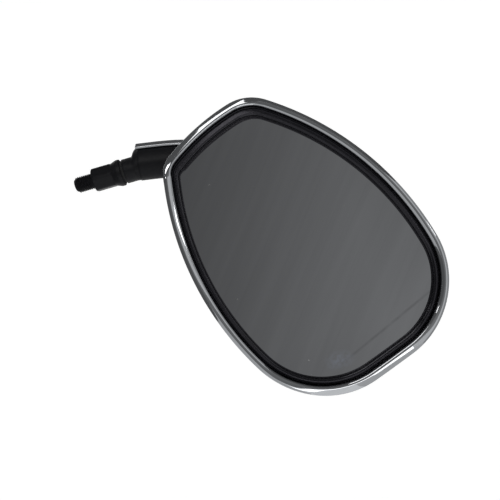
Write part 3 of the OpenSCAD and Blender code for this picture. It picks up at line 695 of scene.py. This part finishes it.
class MIRROR_OT_cover(bpy.types.Operator):
    """Plated rear cover with rounded edges and its lip on the inboard side"""

    bl_idname = "mirror.cover"
    bl_label = "Rear cover"

    def execute(self, context):
        s = context.scene.mirror_arm
        wall, edge = s.wall / MM, s.edge / MM
        angles = np.radians(np.linspace(12, 222, 101))
        edge_angles = np.radians([30, 60, 90, 120, 150])
        n, k = len(angles), len(edge_angles)
        start, bulge = -1.0, 0.8

        def loop(t, thin):
            """Outer line, a rounded edge, the inner line back and the other rounded edge."""
            h = half_t(t)
            outer = section(angles, ARM_HALF_W - thin, h - thin, REAR_POWER)
            inner = section(angles, ARM_HALF_W - wall + thin, h - wall + thin, REAR_POWER)
            r = wall / 2 - thin
            line = [outer]
            for end, before in ((-1, -2), (0, 1)):
                mid = (outer[end] + inner[end]) / 2
                half = outer[end] - mid
                out = outer[end] - outer[before]
                out = out / max(1e-9, np.hypot(*out)) * r * bulge
                arc = np.array([mid + half * math.cos(a) + out * math.sin(a) for a in edge_angles])
                line += [arc, inner[::-1]] if end == -1 else [arc[::-1]]
            return np.vstack(line)

        def ring(t, ahead=0.0, thin=0.0):
            return on_arm(t, loop(t, thin), ahead)

        def top_ring(a):
            """A ring of the rounded top end, a from 0 at its start to a right angle at its tip."""
            p = loop(1.0, 0.0)
            outside, inside = COVER_REACH, COVER_REACH - wall
            reach = np.full(len(p), outside)
            reach[n + k : 2 * n + k] = inside
            reach[n : n + k] = np.linspace(outside, inside, k + 2)[1:-1]
            reach[2 * n + k :] = np.linspace(inside, outside, k + 2)[1:-1]
            turn = path_turn(1.0)
            base = on_arm(1.0, p * math.cos(a), 0.0)
            return base + np.outer(reach * math.sin(a), [math.sin(turn), 0, math.cos(turn)])

        rings = [
            ring(0.0, start + edge * (1 - math.cos(a)), edge * (1 - math.sin(a)))
            for a in np.radians(np.linspace(0, 90, 5))
        ]
        rings += [ring(t) for t in np.linspace(0.014, 1, 60)]
        rings += [top_ring(a) for a in np.radians(np.linspace(5, 89.4, 20))]
        points, faces = loft(rings, capped=False)
        last = (len(rings) - 1) * len(rings[0])
        cap = []
        for i in range(n - 1):
            j = 2 * n + k - 1 - i
            cap.append([i, i + 1, j - 1, j])
        cap.append(list(range(n - 1, n + k + 1)))
        cap.append([0] + list(range(2 * n + k - 1, 2 * n + 2 * k)))
        faces += [f[::-1] for f in cap]
        faces += [[last + i for i in f] for f in cap]
        cover = new_piece("arm_cover", [(points, [f[::-1] for f in faces])], 40)
        dress(cover, chrome_material())
        finish_piece(cover, "arm", ["arm_rear_cover"])
        return {"FINISHED"}


class MIRROR_OT_shell(bpy.types.Operator):
    """Plated shell: the bowl, the rounded bead round the rim and the collared hole for the ball stud"""

    bl_idname = "mirror.shell"
    bl_label = "Shell"

    def execute(self, context):
        s = context.scene.mirror_head
        rw, depth, wall, full = s.rim_w / MM, s.shell_depth / MM, s.shell_wall / MM, s.fullness
        rim_z = rim_height(s)
        bead_z = rim_z - rw / 2
        glass_low = rim_z - s.glass_drop / MM - s.glass_t / MM

        def bowl(edge, deep, top, steps):
            """Rings from the middle of the back out to an edge at height top."""
            out = []
            for k in range(1, steps + 1):
                a = math.pi / 2 * (k / steps) ** 0.9
                f, d = math.sin(a) ** (2 / full), math.cos(a) ** (2 / full)
                out.append(at_z(HEAD_MID + (edge - HEAD_MID) * f, top - deep * d))
            return out

        flare = s.flare / MM * toward(-12, 4)
        rings = bowl(outline(flare), depth - rw / 2, bead_z, 44)
        # The bead's section changes round the outline: at the narrow end, at the wide end's lower side and at the
        # lower left.
        end = toward(177, 3)
        low = toward(-22, 4)
        left = along_outline([-134, -126, -119, -111, -101, -93, -84], [0, 0.15, 0.85, 1, 0.75, 0.4, 0])
        lean = s.lean * (end + 0.75 * low - 1.8 * left)
        bead_steps = 32
        for k in range(1, bead_steps + 1):
            a = math.pi * k / bead_steps
            end_share, low_share = (1, 0.5) if k < bead_steps / 2 else (2, 3.5)
            power = 2 / (2.1 + s.flat * (end * end_share + low * low_share + 0.45 * left))
            cx = math.copysign(1, math.cos(a)) * abs(math.cos(a)) ** power
            cz = max(0.0, math.sin(a)) ** power
            turn = lean * math.sin(a)
            off = (rw + flare) / 2 * (cx * np.cos(turn) + cz * np.sin(turn) - np.cos(turn)) + flare
            up = rw / 2 * (cz * np.cos(turn) - cx * np.sin(turn))
            rings.append(at_z(outline(off), bead_z + up))
        rings.append(at_z(outline(-rw), glass_low - 0.4))
        rings.append(at_z(outline(-wall - 0.4), glass_low - 1.6))
        rings += bowl(outline(-wall), depth - wall - rw / 2 - 0.6, bead_z - 0.6, 18)[:-1][::-1]
        points, faces = loft(rings)
        shell = new_piece("shell", [(head_to_row(points), faces)], 38)
        hole_r = 12.5
        hole = [(0.01, -30.0), (hole_r, -30.0), (hole_r, -17.9), (11.6, -14.2)]
        hole += [(10.2, -10.6), (8.0, -10.0), (0.01, -10.0)]
        points, faces = loft(lathe(hole))
        cutter = new_piece("shell_cutter", [(head_to_row(points), faces)], 30)
        mod = shell.modifiers.new("hole", "BOOLEAN")
        mod.object = cutter
        mod.solver = "EXACT"
        dg = context.evaluated_depsgraph_get()
        holed = bpy.data.meshes.new_from_object(shell.evaluated_get(dg))
        if len(holed.vertices) in (0, len(shell.data.vertices)):
            raise RuntimeError("The hole for the ball stud wasn't cut in the shell")
        shell.modifiers.clear()
        shell.data = holed
        bpy.data.objects.remove(cutter)
        lip = [(12.45, -10.2), (12.3, -13.6), (10.6, -10.9), (10.9, -9.6)]
        lip += [(13.6, -8.5), (14.3, -8.6), (14.3, -11.5)]
        points, faces = loft(lathe(rounded(lip, 0.35, 4)), capped=False, flip=True)
        neck = new_piece("shell_collar", [(head_to_row(points), faces)], 40)
        dress(neck, chrome_material())
        dress(shell, chrome_material())
        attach(neck, "head")
        finish_piece(shell, "head", ["head_shell"])
        return {"FINISHED"}


class MIRROR_OT_bezel(bpy.types.Operator):
    """Black ring between the rim and the glass, with its channel, ridge and lip"""

    bl_idname = "mirror.bezel"
    bl_label = "Bezel"

    def execute(self, context):
        s = context.scene.mirror_head
        rw, bw, lip = s.rim_w / MM, s.bezel_w / MM, s.bezel_lip / MM
        ridge = rim_height(s) - s.ridge_drop / MM
        glass = rim_height(s) - s.glass_drop / MM
        out, inner, hidden = rw + 0.15, rw + bw, rw + bw - lip - 0.15
        low = glass - s.glass_t / MM - 1.15
        crest = []
        for t in np.linspace(0, 1, 7):
            fall = 0.85 * (1 - t) ** 2
            crest.append((out + 0.75 + 1.55 * t, ridge - fall, 0, fall - 0.55 * (1 - t), 0.5 - 0.5 * t, 1))
        # Each point: place across, height, share of the glass's curve, then the extra height and the shift at the
        # narrow end, and the share of the flare.
        profile = rounded(
            [
                (out, ridge - 1.7, 0, 0, 0, 1),
                (out + 0.4, ridge - 1.6, 0, 0, 0, 1),
                *crest,
                (out + 2.9, ridge - 0.3, 0.3, -0.1, -0.3, 1),
                (inner - 0.75, glass + 0.55, 1, 0, -0.4, 1),
                (inner - 0.4, glass + 0.7, 1, 0.1, 0, 1),
                (inner, glass + 0.5, 1, 0.1, 0, 1),
                (inner, glass + 0.15, 1, 0, 0, 1),
                (hidden, glass + 0.15, 1, 0, 0, 0),
                (hidden, low, 1, 0, 0, 0),
                (out, low, 1, 0, 0, 0),
            ],
            0.3,
            5,
            closed=True,
        )
        wide = s.bezel_flare / MM * (0.9 * toward(140, 3) + toward(190, 4))
        end = toward(177, 4)
        rings = []
        for off, z, w, rise, shift, grow in profile:
            p = outline(-off - wide * grow * (off - out) / (inner - out) - shift * end)
            rings.append(at_z(p, z + rise * end - w * dip(p, s.glass_r / MM)))
        points, faces = loft(rings, closed=True)
        bezel = new_piece("bezel", [(head_to_row(points), faces)], 50)
        dress(bezel, bezel_material())
        finish_piece(bezel, "head", ["bezel_ring"])
        return {"FINISHED"}


class MIRROR_OT_glass(bpy.types.Operator):
    """Convex silvered glass with ground edges"""

    bl_idname = "mirror.glass"
    bl_label = "Glass"

    def execute(self, context):
        s = context.scene.mirror_head
        edge = (s.rim_w + s.bezel_w - s.bezel_lip) / MM
        top = rim_height(s) - s.glass_drop / MM
        thick = s.glass_t / MM

        def ring(f, off, z):
            """The outline at f of its way out from the middle, curved like the glass."""
            p = HEAD_MID + (outline(-edge - off) - HEAD_MID) * f
            return at_z(p, z - dip(p, s.glass_r / MM))

        rings = [ring(f, 0.0, top - thick) for f in np.linspace(0.02, 0.985, 40)]
        rings += [ring(1, 0.25, top - thick), ring(1, 0.0, top - thick + 0.25)]
        rings += [ring(1, 0.0, top - 0.3), ring(1, 0.3, top)]
        rings += [ring(f, 0.0, top) for f in np.linspace(0.985, 0.02, 40)]
        points, faces = loft(rings)
        glass = new_piece("glass", [(head_to_row(points), faces)], 30)
        dress(glass, glass_material())
        finish_piece(glass, "head", ["mirror_glass"])
        return {"FINISHED"}


class MIRROR_OT_fittings(bpy.types.Operator):
    """Materials of the frame's own screws, washers, springs, liners and joint parts"""

    bl_idname = "mirror.fittings"
    bl_label = "Fittings"

    def execute(self, context):
        s = context.scene.mirror_finish
        zinc = metal_material("zinc_plate", tuple(s.zinc), 0.26, 0.42)
        spring = metal_material("spring_steel", (0.24, 0.25, 0.27), 0.3, 0.45)
        bronze = metal_material("sintered_bronze", (0.42, 0.30, 0.15), 0.42, 0.6, 2200, 0.2)
        casting = metal_material("grey_casting", (0.27, 0.28, 0.30), 0.45, 0.62, 1400, 0.25)
        nylon = plain_material("black_nylon", (0.017, 0.017, 0.018), 0.5, 0.66)
        white = plain_material("white_nylon", (0.62, 0.60, 0.53), 0.4, 0.52)
        foam = plain_material("grey_foam", (0.05, 0.05, 0.055), 0.8, 0.95, 1500, 0.5)
        black = paint_material()
        groups = {
            "pivot_washer pivot_nut ball_stud stud_washer stud_nut": zinc,
            "base_screws clamp_plate clamp_screws holder_screws": zinc,
            "disc_springs clamp_springs": spring,
            "pivot_bush": bronze,
            "socket_base": casting,
            "friction_washer dust_cap": nylon,
            "liner_rear liner_front": white,
            "glass_holder": bezel_material(),
            "foam_pad": foam,
            "cover_screws": black,
        }
        for names, mat in groups.items():
            for name in names.split():
                dress_node(name, mat)
        return {"FINISHED"}


# ---------------------------------------------------------------- stage

STUDIO_MID = np.array([0.07, -0.06, 0.09])
CARD_R = 0.85
CAM_PLACE = (0.0696, -0.410, 0.0821)
FOCAL_LENGTH = 46.8
VIEW_TURN = math.radians(16.3)
VIEW_RIGHT = np.array([math.sin(VIEW_TURN), 0, math.cos(VIEW_TURN)])
VIEW_UP = np.array([-math.cos(VIEW_TURN), 0, math.sin(VIEW_TURN)])
VIEW_AHEAD = np.array([0, 1, 0])


def studio_point(lean, turn, radius):
    """A point round the object, lean degrees off the camera's axis and turn degrees round it from the right."""
    a, t = math.radians(lean), math.radians(turn)
    d = math.sin(a) * (math.cos(t) * VIEW_RIGHT + math.sin(t) * VIEW_UP) - math.cos(a) * VIEW_AHEAD
    return STUDIO_MID + radius * d


def paper(m, level, keep):
    """White paper that the camera and reflections see at its own level, with shadows kept."""
    seen = m.seen()
    white = (1.0, 1.0, 1.0)
    glow = m.node("ShaderNodeEmission", {"Color": rgba(white), "Strength": m.math("MULTIPLY", seen, level)})
    plain = m.node("ShaderNodeBsdfDiffuse", {"Color": rgba(shade(white, keep))})
    both = m.node("ShaderNodeAddShader", {0: glow.outputs[0], 1: plain.outputs[0]})
    m.put(m.tree.nodes["Material Output"].inputs["Surface"], both.outputs[0])


class MIRROR_OT_stage(bpy.types.Operator):
    """Pale floor and backdrop, soft lamps, reflection cards and the camera"""

    bl_idname = "mirror.stage"
    bl_label = "Stage"

    def sweep(self, z):
        """Floor that turns up into a backdrop behind the object."""
        left, right, front, back, bend, height = -1.8, 2.0, -1.6, 0.55, 0.25, 2.2
        line = [(front, z), (back, z)]
        for a in np.radians(np.linspace(10, 90, 9)):
            line.append((back + bend * math.sin(a), z + bend * (1 - math.cos(a))))
        line.append((back + bend, z + height))
        points, faces = [], []
        for y, h in line:
            points += [(left / MM, y / MM, h / MM), (right / MM, y / MM, h / MM)]
        for i in range(len(line) - 1):
            faces.append([2 * i, 2 * i + 1, 2 * i + 3, 2 * i + 2])
        floor = new_piece("studio_floor", [(points, faces)], 60)
        m = Nodes("studio_paper")
        if m.made:
            paper(m, 0.62, 0.72)
        dress(floor, m.mat)

    def flag(self, name, turn, lean, mat):
        """A curved card, seen in reflections alone, over ranges of degrees round and off the camera's axis."""
        rs, ts = np.linspace(*lean, 9), np.linspace(*turn, 25)
        points = [studio_point(r, t, CARD_R) for r in rs for t in ts]
        n = len(ts)
        faces = [
            [j * n + i, j * n + i + 1, (j + 1) * n + i + 1, (j + 1) * n + i]
            for j in range(len(rs) - 1)
            for i in range(n - 1)
        ]
        obj = new_piece(name, [(np.array(points) / MM, faces)], 60)
        self.reflect_only(obj, mat)

    def grey(self, name, level, rise=(0.0, 0.0)):
        """An uneven grey card, lighter along the image's right and bottom by the two shares."""
        m = Nodes(name)
        if not m.made:
            return m.mat
        spot = m.node("ShaderNodeSeparateXYZ", {"Vector": m.place})
        right = m.ramp(spot.outputs["Z"], -0.15, 0.32, 1 - rise[0], 1 + rise[0])
        down = m.ramp(spot.outputs["X"], -0.2, 0.32, 1 - rise[1], 1 + rise[1])
        bands = m.ramp(m.noise(1.0, 2, 0.6, m.grained((1.2, 1, 22))), 0.3, 0.7, 0.95, 1.05)
        tone = m.math("MULTIPLY", m.math("MULTIPLY", right, down), bands)
        strength = m.math("MULTIPLY", tone, level)
        glow = m.node("ShaderNodeEmission", {"Color": (0.97, 0.985, 1.0, 1), "Strength": strength})
        m.put(m.tree.nodes["Material Output"].inputs["Surface"], glow.outputs[0])
        return m.mat

    def floor_flag(self, name, start, end, z, mat):
        """A flat card on the floor, seen in reflections alone."""
        near, far = -0.95, 0.15
        points = np.array([(start, near, z), (end, near, z), (end, far, z), (start, far, z)]) / MM
        self.reflect_only(new_piece(name, [(points, [[0, 1, 2, 3]])], 60), mat)

    def reflect_only(self, obj, mat):
        """A dressed stage piece that lights nothing and is seen only in reflections."""
        dress(obj, mat)
        obj.visible_camera = False
        obj.visible_diffuse = False
        obj.visible_shadow = False
        obj.visible_volume_scatter = False

    def lamp(self, name, turn, lean, size, level, radius=0.78):
        """A soft lamp inside the flags, its size given round and along the camera's axis."""
        data = bpy.data.lights.new(name, "AREA")
        data.shape = "RECTANGLE"
        data.size, data.size_y = size
        data.energy = level * math.pi * size[0] * size[1]
        place = Vector(studio_point(lean, turn, radius))
        outward = (place - Vector(STUDIO_MID)).normalized()
        along = Vector(studio_point(lean + 1, turn, radius)) - place
        side = along.cross(outward).normalized()
        turned = Matrix((side, outward.cross(side), outward)).transposed()
        obj = bpy.data.objects.new(name, data)
        obj.matrix_world = Matrix.Translation(place) @ turned.to_4x4()
        obj.visible_camera = False
        bpy.context.scene.collection.objects.link(obj)

    def execute(self, context):
        s = context.scene.mirror_stage
        scene = context.scene
        scene.view_settings.view_transform = "Standard"
        self.sweep(s.floor_z)

        world = bpy.data.worlds.new("studio")
        scene.world = world
        world.use_nodes = True
        w = Tree(world.node_tree)
        back = w.tree.nodes["Background"].inputs
        w.put(back["Color"], (1, 1, 1, 1))
        w.put(back["Strength"], w.ramp(w.seen(), 0.0, 1.0, s.world, 1.0))

        dark, dim, grey = self.grey("card_dark", 0.10), self.grey("card_dim", 0.11), self.grey("card_grey", 0.34)
        mid, light = self.grey("card_mid", 0.6), self.grey("card_light", 0.5)
        # Cards: degrees round the camera's axis, then degrees off it.
        self.flag("front_flag", (0, 360), (0.0, 31), self.grey("card_front", s.card, (0.3, 0.16)))
        self.flag("upper_flag", (38, 141), (31, 150), dark)
        self.flag("left_flag", (141, 211), (31, 150), dim)
        self.flag("low_flag", (211, 246), (31, 150), light)
        self.flag("bottom_flag", (246, 300), (31, 110), self.grey("card_pale", 0.8))
        self.flag("bottom_edge", (246, 300), (110, 150), light)
        self.flag("turn_flag", (300, 322), (31, 150), light)
        self.flag("right_flag", (-38, 38), (58, 150), grey)
        self.flag("near_flag", (-38, 38), (31, 58), mid)
        self.flag("rear_flag", (141, 398), (152, 172), grey)
        self.flag("rear_top", (38, 141), (151, 172), dark)
        self.floor_flag("floor_flag_dark", -0.8, 0.172, s.floor_z + 0.002, dim)
        self.floor_flag("floor_flag_light", 0.172, 0.8, s.floor_z + 0.002, light)

        # Lamps: degrees round and off the axis, size and brightness, then the distance.
        self.lamp("strip_lamp", 112, 40, (0.19, 0.22), s.key * 1.2, 0.5)
        self.lamp("patch_lamp", 152, 33, (0.035, 0.06), s.key * 3, 0.4)
        self.lamp("window_lamp", 296, 41, (0.22, 0.03), s.key, 0.33)
        self.lamp("edge_lamp", 22, 62, (0.05, 0.09), s.key * 2)

        cam = bpy.data.objects.new("camera", bpy.data.cameras.new("camera"))
        cam.data.sensor_width = 36.0
        cam.data.lens = FOCAL_LENGTH
        cam.data.clip_start = 0.01
        turn = Matrix((VIEW_RIGHT, VIEW_UP, -VIEW_AHEAD)).transposed()
        cam.matrix_world = Matrix.Translation(CAM_PLACE) @ turn.to_4x4()
        scene.collection.objects.link(cam)
        scene.camera = cam
        return {"FINISHED"}


STEPS = (
    MIRROR_OT_stem,
    MIRROR_OT_arm,
    MIRROR_OT_cover,
    MIRROR_OT_shell,
    MIRROR_OT_bezel,
    MIRROR_OT_glass,
    MIRROR_OT_fittings,
    MIRROR_OT_stage,
)
GROUPS = {
    "mirror_head": MirrorHeadSettings,
    "mirror_stem": MirrorStemSettings,
    "mirror_arm": MirrorArmSettings,
    "mirror_finish": MirrorFinishSettings,
    "mirror_stage": MirrorStageSettings,
}


class MIRROR_PT_panel(bpy.types.Panel):
    """Sizes, colours and build steps of the mirror"""

    bl_label = "Motorcycle mirror"
    bl_idname = "MIRROR_PT_panel"
    bl_space_type = "VIEW_3D"
    bl_region_type = "UI"
    bl_category = "Mirror"

    def draw(self, context):
        for name, group in GROUPS.items():
            box = self.layout.box()
            for prop in group.__annotations__:
                box.prop(getattr(context.scene, name), prop)
        for step in STEPS:
            self.layout.operator(step.bl_idname)


def register():
    for cls in (*GROUPS.values(), *STEPS, MIRROR_PT_panel):
        bpy.utils.register_class(cls)
    for name, group in GROUPS.items():
        setattr(bpy.types.Scene, name, bpy.props.PointerProperty(type=group))


def unregister():
    for name in GROUPS:
        delattr(bpy.types.Scene, name)
    for cls in (MIRROR_PT_panel, *reversed(STEPS), *reversed(list(GROUPS.values()))):
        bpy.utils.unregister_class(cls)


def main():
    register()
    for step in STEPS:
        group, name = step.bl_idname.split(".")
        getattr(getattr(bpy.ops, group), name)()


if __name__ == "__main__":
    main()
